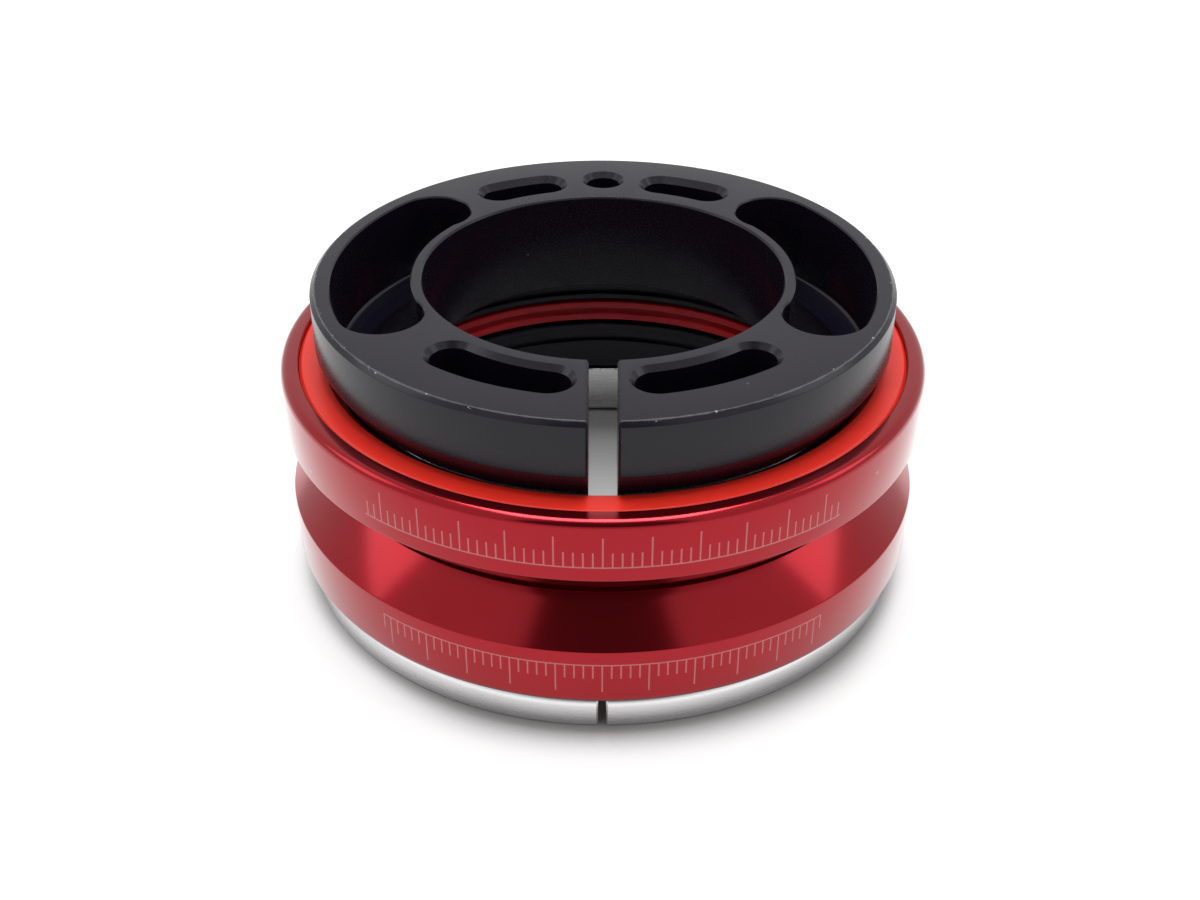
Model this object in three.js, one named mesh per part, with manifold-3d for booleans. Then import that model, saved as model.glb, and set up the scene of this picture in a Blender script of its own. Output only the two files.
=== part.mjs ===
// Integrated headset bearing set for a bicycle whose cables run through the head tube:
// a crown race, two identical angular contact bearings back to back, and a split
// compression ring with cable ports. Millimetres, +Z up, origin at the bottom centre of
// the crown race; the split of both split rings faces -Y.
import * as THREE from 'three';
import Module from 'manifold-3d';
import { mergeVertices } from 'three/addons/utils/BufferGeometryUtils.js';

// Interfaces to the bicycle
const STEERER_RADIUS = 14.3;
const CROWN_SEAT_RADIUS = 19.9;

// Bearing: 51.8 x 40 x 8 mm with a 45 degree seat outside and inside
const BEARING_RADIUS = 25.9;
const BEARING_BORE_RADIUS = 20;
const BEARING_HEIGHT = 8;
const SEAT_DEPTH = 3.1;
const EDGE_ROUND = 0.7;
const BACK_INNER_RADIUS = 22.3;
const FRONT_INNER_RADIUS = 24.45;
const RACE_SHOULDER_HIGH = 22.8;
const RACE_SHOULDER_LOW = 21.6;
const RACE_BACK = 0.95;
const RACE_FRONT = 7.1;
const RACE_GROOVE_FROM = 1.75;
const RACE_GROOVE_TO = 3.05;
const RACE_GROOVE_DEPTH = 0.5;
const EDGE_BREAK = 0.2;
// The inner seat is the 45 degree cone where radius - height = INNER_SEAT
const INNER_SEAT = 14.2;

// Balls run on a circle through (BALL_CIRCLE, BALL_HEIGHT) of the bearing's section
const BALL_RADIUS = 3.175 / 2;
const BALL_COUNT = 22;
const BALL_CIRCLE = 23;
const BALL_HEIGHT = 4;
const RACEWAY_RADIUS = 1.7;
const POCKET_RADIUS = 1.75;
const CAGE = { inner: 22.95, outer: 23.9, back: 3.6, front: 6.3 };

// Seals, in the section of the bearing. The front one carries on the line of the inner seat
const FRONT_SEAL = { inner: 21.8, outer: 24.4, back: 7.25, front: 7.85 };
const BACK_SEAL = { inner: 20.15, outer: 22.25, back: 0.15, front: 0.85 };

// Stack, from the crown up
const SEAT_GAP = 0.1;
const CROWN_RADIUS = 25;
const CROWN_FLANGE = 2.75;
const CROWN_HEIGHT = 4.8;
const CROWN_SLIT = 0.6;
const CROWN_ROUND = 0.9;
const CROWN_LEAD_IN = 0.4;
const LOWER_BACK = 10.95;
const UPPER_BACK = LOWER_BACK + 0.25;

// Compression ring
const RING_BOTTOM = 16.8;
const RING_TOP = 25.25;
const RING_RADIUS = 23;
const RING_WALL_BOTTOM = 20.9;
const RING_NECK_HEIGHT = 19.1;
const RING_SPLIT = 2.05;
const TOP_CHAMFER = 0.35;
const BORE_CHAMFER = 0.15;
const PORT_INNER_RADIUS = 15.2;
const PORT_OUTER_RADIUS = 21.45;
const PORT_END_RADIUS = 3.2;
const PORT_END_CIRCLE = 18.24;
const PORT_FRONT_ANGLE = -24;
const PORT_BACK_ANGLE = 37.4;
const FRONT_SLOT = { circle: 17.45, halfWidth: 1.65, from: 12.8, to: 38.5 };
const BACK_SLOT = { circle: 17.87, halfWidth: 1.43, from: 16.6, to: 30.5 };
const PIN_HOLE_CIRCLE = 18.15;
const PIN_HOLE_RADIUS = 1.45;

// Facets round a full circle: every quarter turn lands on a vertex
const FACETS = 40;
const RING_FACETS = 60;

const FINISH = {
  anodised: { color: 0xac2730, roughness: 0.28, metalness: 0.9 },
  steel: { color: 0x17151a, roughness: 0.3, metalness: 0.8 },
  seal: { color: 0xd4402c, roughness: 0.35, metalness: 0 },
  cage: { color: 0x3a3a3e, roughness: 0.6, metalness: 0 },
  ball: { color: 0xc8c8cc, roughness: 0.12, metalness: 1 },
  ring: { color: 0x2b2a2f, roughness: 0.4, metalness: 0.6 },
  crown: { color: 0xc4c4c6, roughness: 0.18, metalness: 1 },
};

const wasm = await Module();
wasm.setup();

const degrees = THREE.MathUtils.degToRad;
const polar = (radius, angle) => [radius * Math.cos(angle), radius * Math.sin(angle)];

function signedArea(points) {
  let area = 0;
  points.forEach(([x, y], i) => {
    const [nextX, nextY] = points[(i + 1) % points.length];
    area += (x * nextY - nextX * y) / 2;
  });
  return area;
}

// A closed [radius, height] outline turned about Z, its faces pointing out
function turned(outline, facets = FACETS) {
  const ordered = signedArea(outline) > 0 ? outline : [...outline].reverse();
  const points = [...ordered, ordered[0]].map(([r, z]) => new THREE.Vector2(r, z));
  return new THREE.LatheGeometry(points, facets).rotateX(Math.PI / 2);
}

// Points on an arc of a section, from one angle to another in degrees
function arc(centre, radius, from, to, steps) {
  const points = [];
  for (let i = 0; i <= steps; i += 1) {
    const [x, y] = polar(radius, degrees(from + ((to - from) * i) / steps));
    points.push([centre[0] + x, centre[1] + y]);
  }
  return points;
}

function toSolid(geometry) {
  const bare = geometry.clone();
  bare.deleteAttribute('normal');
  bare.deleteAttribute('uv');
  const merged = mergeVertices(bare, 1e-4);
  return new wasm.Manifold(new wasm.Mesh({
    numProp: 3,
    vertProperties: new Float32Array(merged.attributes.position.array),
    triVerts: new Uint32Array(merged.index.array),
  }));
}

function toGeometry(solid) {
  const mesh = solid.getMesh();
  const geometry = new THREE.BufferGeometry();
  geometry.setAttribute('position', new THREE.BufferAttribute(mesh.vertProperties, 3));
  geometry.setIndex(new THREE.BufferAttribute(mesh.triVerts, 1));
  geometry.computeVertexNormals();
  return geometry;
}

function cut(geometry, cutters) {
  const solid = cutters.reduce((rest, cutter) => rest.subtract(toSolid(cutter)), toSolid(geometry));
  return toGeometry(solid);
}

function piece(name, geometry, finish) {
  const mesh = new THREE.Mesh(geometry, new THREE.MeshStandardMaterial(FINISH[finish]));
  mesh.name = name;
  return mesh;
}

// An outline on the XY plane, extruded past both faces of the compression ring
function throughRing(shape) {
  const depth = RING_TOP - RING_BOTTOM + 2;
  const options = { depth, bevelEnabled: false, curveSegments: 5 };
  return new THREE.ExtrudeGeometry(shape, options).translate(0, 0, RING_BOTTOM - 1);
}

// The gap of a split ring: a slab through its wall at -Y
function split(width, inner, outer, height) {
  const slab = new THREE.BoxGeometry(width, outer - inner, height);
  return slab.translate(0, -(inner + outer) / 2, height / 2);
}

// The part of a raceway that one race carries, in degrees about the ball's centre
const racewayAngle = (radius, side) => {
  const x = radius - BALL_CIRCLE;
  const z = side * Math.sqrt(RACEWAY_RADIUS ** 2 - x ** 2);
  return THREE.MathUtils.euclideanModulo(THREE.MathUtils.radToDeg(Math.atan2(z, x)), 360);
};

const raceway = (from, to) => arc([BALL_CIRCLE, BALL_HEIGHT], RACEWAY_RADIUS, from, to, 4);

// Outer race: 45 degree seat at the back, thin lip round the seal at the front
function outerRace() {
  const backShoulder = racewayAngle(BACK_INNER_RADIUS, -1) - 360;
  const frontShoulder = racewayAngle(FRONT_INNER_RADIUS, 1);
  const edge = [BEARING_RADIUS - EDGE_ROUND, BEARING_HEIGHT - EDGE_ROUND];
  return turned([
    [BACK_INNER_RADIUS, 0],
    [BEARING_RADIUS - SEAT_DEPTH, 0],
    [BEARING_RADIUS, SEAT_DEPTH],
    ...arc(edge, EDGE_ROUND, 0, 90, 3),
    [FRONT_INNER_RADIUS, BEARING_HEIGHT],
    ...raceway(frontShoulder, backShoulder),
  ]);
}

// Inner race: 45 degree seat at the front, a shallow groove in the bore near the back
function innerRace() {
  const bore = BEARING_BORE_RADIUS;
  const grooved = bore + RACE_GROOVE_DEPTH;
  return turned([
    [bore + EDGE_BREAK, RACE_BACK],
    [bore, RACE_BACK + EDGE_BREAK],
    [bore, RACE_GROOVE_FROM],
    [grooved, RACE_GROOVE_FROM],
    [grooved, RACE_GROOVE_TO],
    [bore, RACE_GROOVE_TO],
    [bore, bore - INNER_SEAT],
    [RACE_FRONT + INNER_SEAT, RACE_FRONT],
    [RACE_SHOULDER_HIGH, RACE_FRONT],
    ...raceway(racewayAngle(RACE_SHOULDER_HIGH, 1), racewayAngle(RACE_SHOULDER_LOW, -1)),
    [RACE_SHOULDER_LOW, RACE_BACK],
  ]);
}

function frontSeal() {
  const { inner, outer, back, front } = FRONT_SEAL;
  return turned([
    [inner, back],
    [inner + front - back, front],
    [outer - EDGE_BREAK, front],
    [outer, front - EDGE_BREAK],
    [outer, back],
  ]);
}

function backSeal() {
  const { inner, outer, back, front } = BACK_SEAL;
  return turned([[inner, back], [outer, back], [outer, front], [inner, front]]);
}

// Cage: a band over the balls with a round pocket for each
function ballCage() {
  const { inner, outer, back, front } = CAGE;
  const band = turned([[inner, back], [outer, back], [outer, front], [inner, front]]);
  const depth = POCKET_RADIUS * 2;
  const pockets = [];
  for (let i = 0; i < BALL_COUNT; i += 1) {
    const pocket = new THREE.CylinderGeometry(POCKET_RADIUS, POCKET_RADIUS, depth, 8);
    pocket.rotateZ(Math.PI / 2).translate(BALL_CIRCLE, 0, BALL_HEIGHT);
    pockets.push(pocket.rotateZ((2 * Math.PI * i) / BALL_COUNT));
  }
  return cut(band, pockets);
}

function balls(prefix) {
  const meshes = [];
  for (let i = 0; i < BALL_COUNT; i += 1) {
    const [x, y] = polar(BALL_CIRCLE, (2 * Math.PI * i) / BALL_COUNT);
    const name = `${prefix}_ball_${String(i + 1).padStart(2, '0')}`;
    const ball = piece(name, new THREE.IcosahedronGeometry(BALL_RADIUS, 1), 'ball');
    ball.position.set(x, y, BALL_HEIGHT);
    meshes.push(ball);
  }
  return meshes;
}

// One bearing, its back (the outer seat) at z = 0 and its front at z = BEARING_HEIGHT
function bearing(prefix) {
  const group = new THREE.Group();
  group.add(
    piece(`${prefix}_outer_race`, outerRace(), 'anodised'),
    piece(`${prefix}_inner_race`, innerRace(), 'steel'),
    piece(`${prefix}_front_seal`, frontSeal(), 'seal'),
    piece(`${prefix}_back_seal`, backSeal(), 'seal'),
    piece(`${prefix}_ball_cage`, ballCage(), 'cage'),
    ...balls(prefix),
  );
  return group;
}

// Crown race: a flange under the lower bearing and a cone into its inner seat
function crownRace() {
  const cone = LOWER_BACK + INNER_SEAT - SEAT_GAP;
  const body = turned([
    [CROWN_SEAT_RADIUS, CROWN_LEAD_IN],
    [CROWN_SEAT_RADIUS + CROWN_LEAD_IN, 0],
    [CROWN_RADIUS - CROWN_LEAD_IN, 0],
    [CROWN_RADIUS, CROWN_LEAD_IN],
    ...arc([CROWN_RADIUS - CROWN_ROUND, CROWN_FLANGE - CROWN_ROUND], CROWN_ROUND, 0, 90, 3),
    [cone - CROWN_FLANGE, CROWN_FLANGE],
    [cone - CROWN_HEIGHT, CROWN_HEIGHT],
    [CROWN_SEAT_RADIUS, CROWN_HEIGHT],
  ]);
  const slit = split(CROWN_SLIT, CROWN_SEAT_RADIUS - 1, CROWN_RADIUS + 1, CROWN_HEIGHT + 2);
  return cut(body, [slit.translate(0, 0, -1)]);
}

// Cable port on the +X side: a slot along the rim that ends in two wider round holes
function portSlot() {
  const start = degrees(PORT_FRONT_ANGLE);
  const end = degrees(PORT_BACK_ANGLE);
  const slot = new THREE.Shape();
  slot.absarc(0, 0, PORT_OUTER_RADIUS, start, end, false);
  slot.absarc(0, 0, PORT_INNER_RADIUS, end, start, true);
  slot.closePath();
  return throughRing(slot);
}

function portEnd(angle) {
  const depth = RING_TOP - RING_BOTTOM + 2;
  const [x, y] = polar(PORT_END_CIRCLE, degrees(angle));
  const hole = new THREE.CylinderGeometry(PORT_END_RADIUS, PORT_END_RADIUS, depth, 24);
  return hole.rotateX(Math.PI / 2).translate(x, y, RING_BOTTOM + depth / 2 - 1);
}

// A curved slot with round ends, between two angles measured from an axis direction
function curvedSlot({ circle, halfWidth, from, to }, axis, side) {
  const start = degrees(axis + side * (side > 0 ? from : to));
  const end = degrees(axis + side * (side > 0 ? to : from));
  const slot = new THREE.Shape();
  slot.absarc(0, 0, circle + halfWidth, start, end, false);
  slot.absarc(...polar(circle, end), halfWidth, end, end + Math.PI, false);
  slot.absarc(0, 0, circle - halfWidth, end, start, true);
  slot.absarc(...polar(circle, start), halfWidth, start + Math.PI, start + 2 * Math.PI, false);
  return throughRing(slot);
}

function pinHole() {
  const shape = new THREE.Shape();
  shape.absarc(0, PIN_HOLE_CIRCLE, PIN_HOLE_RADIUS, 0, 2 * Math.PI, false);
  return throughRing(shape);
}

const mirrored = (angle) => 180 - angle;

// Compression ring: its 45 degree cone wedges the upper inner race on the steerer
function compressionRing() {
  const cone = INNER_SEAT - UPPER_BACK - SEAT_GAP;
  const body = turned([
    [STEERER_RADIUS + BORE_CHAMFER, RING_BOTTOM],
    [RING_BOTTOM + cone, RING_BOTTOM],
    [RING_NECK_HEIGHT + cone, RING_NECK_HEIGHT],
    [RING_RADIUS, RING_WALL_BOTTOM],
    [RING_RADIUS, RING_TOP - TOP_CHAMFER],
    [RING_RADIUS - TOP_CHAMFER, RING_TOP],
    [STEERER_RADIUS + BORE_CHAMFER, RING_TOP],
    [STEERER_RADIUS, RING_TOP - BORE_CHAMFER],
    [STEERER_RADIUS, RING_BOTTOM + BORE_CHAMFER],
  ], RING_FACETS);
  return cut(body, [
    portSlot(),
    portEnd(PORT_FRONT_ANGLE),
    portEnd(PORT_BACK_ANGLE),
    portSlot().rotateY(Math.PI).translate(0, 0, RING_TOP + RING_BOTTOM),
    portEnd(mirrored(PORT_FRONT_ANGLE)),
    portEnd(mirrored(PORT_BACK_ANGLE)),
    curvedSlot(FRONT_SLOT, 270, 1),
    curvedSlot(FRONT_SLOT, 270, -1),
    curvedSlot(BACK_SLOT, 90, 1),
    curvedSlot(BACK_SLOT, 90, -1),
    pinHole(),
    split(RING_SPLIT, STEERER_RADIUS - 1, RING_RADIUS + 1, RING_TOP + 1),
  ]);
}

const headset = new THREE.Group();

const lower = bearing('lower');
lower.rotation.x = Math.PI;
lower.position.z = LOWER_BACK;

const upper = bearing('upper');
upper.position.z = UPPER_BACK;

headset.add(
  piece('crown_race', crownRace(), 'crown'),
  lower,
  upper,
  piece('compression_ring', compressionRing(), 'ring'),
);

export default headset;
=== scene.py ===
import math

import bmesh
import bpy
from mathutils import Matrix, Vector


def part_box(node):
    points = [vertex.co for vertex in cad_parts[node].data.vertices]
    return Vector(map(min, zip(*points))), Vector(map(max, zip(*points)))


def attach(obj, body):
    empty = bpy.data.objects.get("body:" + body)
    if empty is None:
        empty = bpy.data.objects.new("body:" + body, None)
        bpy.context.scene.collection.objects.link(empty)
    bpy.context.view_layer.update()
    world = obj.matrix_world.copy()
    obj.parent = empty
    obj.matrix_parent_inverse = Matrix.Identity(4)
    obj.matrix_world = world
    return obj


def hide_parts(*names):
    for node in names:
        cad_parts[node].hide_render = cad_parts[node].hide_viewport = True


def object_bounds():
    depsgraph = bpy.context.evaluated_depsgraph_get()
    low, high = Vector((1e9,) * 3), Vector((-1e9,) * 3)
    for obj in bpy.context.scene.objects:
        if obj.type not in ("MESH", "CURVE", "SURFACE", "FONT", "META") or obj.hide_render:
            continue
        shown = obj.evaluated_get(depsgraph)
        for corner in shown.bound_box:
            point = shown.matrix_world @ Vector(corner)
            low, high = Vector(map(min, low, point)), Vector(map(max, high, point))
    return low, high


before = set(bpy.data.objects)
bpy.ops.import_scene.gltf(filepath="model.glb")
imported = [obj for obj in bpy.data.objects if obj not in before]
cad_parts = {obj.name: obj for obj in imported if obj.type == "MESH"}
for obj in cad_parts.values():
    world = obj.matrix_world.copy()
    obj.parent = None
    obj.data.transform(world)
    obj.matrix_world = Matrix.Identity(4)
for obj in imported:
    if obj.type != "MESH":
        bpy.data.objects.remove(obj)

cad_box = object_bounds()

# ---------------------------------------------------------------------------------------
# Crown race: the ring pressed on the fork crown, with the cone that carries the lower
# bearing. Polished aluminium, turned in one piece and slit at the front so that it
# springs over its seat.
# ---------------------------------------------------------------------------------------

MM = 0.001
TURN_STEPS = 288
ROUND_STEPS = 5
ROUND_SHARE = 0.45
MITRE_LIMIT = 0.4
SMOOTH_BELOW = math.radians(30)


def rounded(corners):
    """Section points from (radius, height, rounding) corners, all in millimetres."""
    points = []
    for i, (r, z, radius) in enumerate(corners):
        before, after = corners[i - 1], corners[(i + 1) % len(corners)]
        if not radius:
            points.append((r, z))
            continue
        to_before = (before[0] - r, before[1] - z)
        to_after = (after[0] - r, after[1] - z)
        reach_before, reach_after = math.hypot(*to_before), math.hypot(*to_after)
        u = (to_before[0] / reach_before, to_before[1] / reach_before)
        v = (to_after[0] / reach_after, to_after[1] / reach_after)
        half = math.acos(max(-1, min(1, u[0] * v[0] + u[1] * v[1]))) / 2
        back = min(radius / math.tan(half), ROUND_SHARE * min(reach_before, reach_after))
        real = back * math.tan(half)
        middle = (u[0] + v[0], u[1] + v[1])
        length = math.hypot(*middle)
        out = real / math.sin(half)
        centre = (r + middle[0] / length * out, z + middle[1] / length * out)
        start = math.atan2(z + u[1] * back - centre[1], r + u[0] * back - centre[0])
        end = math.atan2(z + v[1] * back - centre[1], r + v[0] * back - centre[0])
        turn = (end - start + math.pi) % (2 * math.pi) - math.pi
        for step in range(ROUND_STEPS + 1):
            angle = start + turn * step / ROUND_STEPS
            across, up = real * math.cos(angle), real * math.sin(angle)
            points.append((centre[0] + across, centre[1] + up))
    return points


def counter_clockwise(points):
    """The same closed outline, running anticlockwise."""
    area = sum(a[0] * b[1] - b[0] * a[1] for a, b in zip(points, points[1:] + points[:1]))
    return points if area > 0 else points[::-1]


def shrunk(points, by):
    """The same closed outline, each point moved inwards by the same distance."""
    inner = []
    for i, (x, y) in enumerate(points):
        before, after = points[i - 1], points[(i + 1) % len(points)]
        a = math.atan2(y - before[1], x - before[0])
        b = math.atan2(after[1] - y, after[0] - x)
        bend = (b - a + math.pi) % (2 * math.pi) - math.pi
        reach = by / max(math.cos(bend / 2), MITRE_LIMIT)
        way = a + bend / 2
        inner.append((x - reach * math.sin(way), y + reach * math.cos(way)))
    return inner


def mesh_object(name, points, faces):
    """A mesh in millimetres, smooth but for its edges, as an object in the scene."""
    mesh = bpy.data.meshes.new(name)
    mesh.from_pydata([(x * MM, y * MM, z * MM) for x, y, z in points], [], faces)
    mesh.validate()
    mesh.shade_smooth()
    mesh.set_sharp_from_angle(angle=SMOOTH_BELOW)
    made = bpy.data.objects.new(name, mesh)
    bpy.context.scene.collection.objects.link(made)
    return made


def turned(name, section, steps=TURN_STEPS, slit=0, deburr=0):
    """A closed section turned about the axis; a slit leaves it open at the front."""
    section = counter_clockwise(section)
    count = len(section)
    rings = []
    if slit:
        ends = [(shrunk(section, deburr), slit / 2), (section, slit / 2 + deburr)]
        for profile, x in ends:
            rings.append([(r, z, math.asin(x / r)) for r, z in profile])
        for step in range(1, steps):
            rings.append([
                (r, z, a + (2 * math.pi - 2 * a) * step / steps) for r, z, a in rings[1]
            ])
        for ring in (rings[1], rings[0]):
            rings.append([(r, z, 2 * math.pi - a) for r, z, a in ring])
    else:
        for step in range(steps):
            rings.append([(r, z, 2 * math.pi * step / steps) for r, z in section])
    points = [
        (r * math.sin(angle), -r * math.cos(angle), z)
        for ring in rings for r, z, angle in ring
    ]
    faces = []
    for i in range(len(rings) - (1 if slit else 0)):
        k = (i + 1) % len(rings)
        for j in range(count):
            l = (j + 1) % count
            faces.append((i * count + j, k * count + j, k * count + l, i * count + l))
    if slit:
        faces.append(tuple(range(count)))
        faces.append(tuple(reversed(range((len(rings) - 1) * count, len(rings) * count))))
    return mesh_object(name, points, faces)


def place(tree, kind, feeds=None, **settings):
    """Adds a shader node; feeds are plain values or the outputs of other nodes."""
    made = tree.nodes.new("ShaderNode" + kind)
    for setting, value in settings.items():
        setattr(made, setting, value)
    for label, feed in (feeds or {}).items():
        if isinstance(feed, bpy.types.NodeSocket):
            tree.links.new(feed, made.inputs[label])
        else:
            made.inputs[label].default_value = feed
    return made


def calc(tree, operation, a, b=0.0):
    """The output of one Math node."""
    return place(tree, "Math", {0: a, 1: b}, operation=operation).outputs[0]


def ramp(tree, value, low, high, to_low=0.0, to_high=1.0):
    """Value eased from low to high, clamped at both ends."""
    made = place(tree, "MapRange", {
        "Value": value, "From Min": low, "From Max": high, "To Min": to_low, "To Max": to_high,
    }, interpolation_type="SMOOTHSTEP")
    return made.outputs["Result"]


NOISE_LOW = 0.3
NOISE_HIGH = 0.7


def spread(tree, noise, low, high):
    """A noise, which seldom leaves its middle range, spread from low to high."""
    return ramp(tree, noise, NOISE_LOW, NOISE_HIGH, low, high)


def new_group(name, inputs, outputs):
    """A shader node group with number inputs, and its two ends."""
    tree = bpy.data.node_groups.new(name, "ShaderNodeTree")
    for label, value in inputs.items():
        socket = tree.interface.new_socket(label, in_out="INPUT", socket_type="NodeSocketFloat")
        socket.default_value = value
    for label in outputs:
        tree.interface.new_socket(label, in_out="OUTPUT", socket_type="NodeSocketFloat")
    knobs = tree.nodes.new("NodeGroupInput").outputs
    return tree, knobs, tree.nodes.new("NodeGroupOutput").inputs


def use_group(tree, group, feeds=None):
    """The outputs of a node group placed in a tree."""
    return place(tree, "Group", feeds, node_tree=group).outputs


# Where a point lies on the part: millimetres from the axis and above the crown, and
# degrees round the axis from the front
station, _, ends = new_group("Station round the axis", {}, ["Radius", "Angle", "Height"])
spot = place(station, "TexCoord").outputs["Object"]
axes = place(station, "SeparateXYZ", {0: spot}).outputs
across = calc(station, "MULTIPLY", axes["X"], axes["X"])
along = calc(station, "MULTIPLY", axes["Y"], axes["Y"])
away = calc(station, "SQRT", calc(station, "ADD", across, along))
station.links.new(calc(station, "DIVIDE", away, MM), ends["Radius"])
forward = calc(station, "MULTIPLY", axes["Y"], -1.0)
bearing_angle = calc(station, "ARCTAN2", axes["X"], forward)
station.links.new(calc(station, "DEGREES", bearing_angle), ends["Angle"])
station.links.new(calc(station, "DIVIDE", axes["Z"], MM), ends["Height"])

# Lathe lines: fine rings left by the tool, broken up a little round the circle
LINES_PER_DEGREE = 0.02
lathe_lines, knobs, ends = new_group("Lathe lines", {"Lines per mm": 8.0}, ["Lines"])
here = use_group(lathe_lines, station)
outwards = calc(lathe_lines, "MULTIPLY", here["Radius"], knobs["Lines per mm"])
upwards = calc(lathe_lines, "MULTIPLY", here["Height"], knobs["Lines per mm"])
roundwards = calc(lathe_lines, "MULTIPLY", here["Angle"], LINES_PER_DEGREE)
grid = place(lathe_lines, "CombineXYZ", {"X": outwards, "Y": upwards, "Z": roundwards})
lines = place(lathe_lines, "TexNoise", {
    "Vector": grid.outputs[0], "Scale": 1.0, "Detail": 3.0, "Roughness": 0.6,
})
lathe_lines.links.new(lines.outputs["Fac"], ends["Lines"])

# Clouding: the slow unevenness of any handled surface, sized in millimetres
clouding, knobs, ends = new_group("Clouding", {"Size mm": 4.0, "Detail": 3.0}, ["Cloud"])
fine = calc(clouding, "DIVIDE", 1.0 / MM, knobs["Size mm"])
spot = place(clouding, "TexCoord").outputs["Object"]
cloud = place(clouding, "TexNoise", {"Vector": spot, "Scale": fine, "Detail": knobs["Detail"]})
clouding.links.new(cloud.outputs["Fac"], ends["Cloud"])

# Worn edge and painted highlight: a thin line on one turned edge, broken into scuffs and small
# nicks; the line stands partly for real rubbing and partly for a painted highlight, the nicks
# for real wear
SCUFFS_PER_METRE = 900.0
NICKS_PER_METRE = 2600.0
NICK_RARITY = 0.78
NICK_GAIN = 0.2
NICK_EDGE = 0.03
worn_edge_and_highlight, knobs, ends = new_group("Worn edge and highlight line", {
    "Radius": 20.0, "Height": 10.0, "Width": 0.06, "Nicks": 0.5,
}, ["Line", "Nicks"])
here = use_group(worn_edge_and_highlight, station)
off_radius = calc(worn_edge_and_highlight, "SUBTRACT", here["Radius"], knobs["Radius"])
off_height = calc(worn_edge_and_highlight, "SUBTRACT", here["Height"], knobs["Height"])
square = calc(worn_edge_and_highlight, "ADD", calc(worn_edge_and_highlight, "MULTIPLY", off_radius, off_radius),
              calc(worn_edge_and_highlight, "MULTIPLY", off_height, off_height))
distance = calc(worn_edge_and_highlight, "SQRT", square)
spot = place(worn_edge_and_highlight, "TexCoord").outputs["Object"]
scuffs = place(worn_edge_and_highlight, "TexNoise", {
    "Vector": spot, "Scale": SCUFFS_PER_METRE, "Detail": 4.0,
})
ragged = spread(worn_edge_and_highlight, scuffs.outputs["Fac"], 0.5, 1.3)
reach = calc(worn_edge_and_highlight, "MULTIPLY", knobs["Width"], ragged)
# Painted highlight: this line lightens the edge partly for real rubbing and partly as the
# highlight of its rounding
line = ramp(worn_edge_and_highlight, calc(worn_edge_and_highlight, "DIVIDE", distance, reach), 0.5, 1.2, 1.0, 0.0)
worn_edge_and_highlight.links.new(line, ends["Line"])
chips = place(worn_edge_and_highlight, "TexNoise", {
    "Vector": spot, "Scale": NICKS_PER_METRE, "Detail": 2.0,
})
often = calc(worn_edge_and_highlight, "MULTIPLY", knobs["Nicks"], NICK_GAIN)
past = calc(worn_edge_and_highlight, "SUBTRACT", chips.outputs["Fac"],
            calc(worn_edge_and_highlight, "SUBTRACT", NICK_RARITY, often))
chipped = ramp(worn_edge_and_highlight, past, 0.0, NICK_EDGE)
near = ramp(worn_edge_and_highlight, calc(worn_edge_and_highlight, "DIVIDE", distance, knobs["Width"]), 1.2, 2.4, 1.0, 0.0)
worn_edge_and_highlight.links.new(calc(worn_edge_and_highlight, "MULTIPLY", chipped, near), ends["Nicks"])

# Specks: a few grains of dust or pin holes scattered over a surface
specks, knobs, ends = new_group("Specks", {"Per mm": 0.8, "Size": 0.1, "Share": 0.1}, ["Specks"])
spot = place(specks, "TexCoord").outputs["Object"]
dense = calc(specks, "MULTIPLY", knobs["Per mm"], 1.0 / MM)
cells = place(specks, "TexVoronoi", {"Vector": spot, "Scale": dense})
picked = place(specks, "SeparateXYZ", {0: cells.outputs["Color"]}).outputs["X"]
chosen = calc(specks, "LESS_THAN", picked, knobs["Share"])
off_centre = calc(specks, "DIVIDE", cells.outputs["Distance"], knobs["Size"])
grain = ramp(specks, off_centre, 0.6, 1.0, 1.0, 0.0)
specks.links.new(calc(specks, "MULTIPLY", grain, chosen), ends["Specks"])


def new_material(name, **plain):
    """A material with one Principled shader; plain values go straight on its sockets."""
    made = bpy.data.materials.new(name)
    made.use_nodes = True
    tree = made.node_tree
    shader = tree.nodes["Principled BSDF"]
    for label, value in plain.items():
        shader.inputs[label.replace("_", " ")].default_value = value
    return made, tree, shader.inputs


def mixed(tree, mask, plain, marked):
    """Colour that goes from plain to marked where the mask is 1."""
    factor, first_colour, second_colour, colour_out = 0, 6, 7, 2
    feeds = {factor: mask, first_colour: plain, second_colour: marked}
    return place(tree, "Mix", feeds, data_type="RGBA").outputs[colour_out]


def raised(tree, height, depth_mm, normal=None):
    """A bump normal whose height of 1 stands depth_mm proud."""
    feeds = {"Height": height, "Distance": depth_mm * MM, "Strength": 1.0}
    if normal is not None:
        feeds["Normal"] = normal
    return place(tree, "Bump", feeds).outputs["Normal"]


low, high = (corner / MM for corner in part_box("crown_race"))
RACE_BORE = 19.9
RACE_FLANGE = 2.75
RACE_CONE_ROOT = 22.3
RACE_CONE_TIP = 20.25
RACE_SLIT = 0.6
RACE_SLIT_DEBURR = 0.12
RACE_ROUND = 0.9
RACE_FOOT_ROUND = 0.25
RACE_LEAD_IN = 0.4
RACE_LEAD_IN_ROUND = 0.1
RACE_TIP_ROUND = 0.08
SILVER = (0.75, 0.75, 0.755, 1)
BRIGHT_SILVER = (0.81, 0.81, 0.815, 1)
DENT_GREY = (0.18, 0.17, 0.17, 1)

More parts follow.
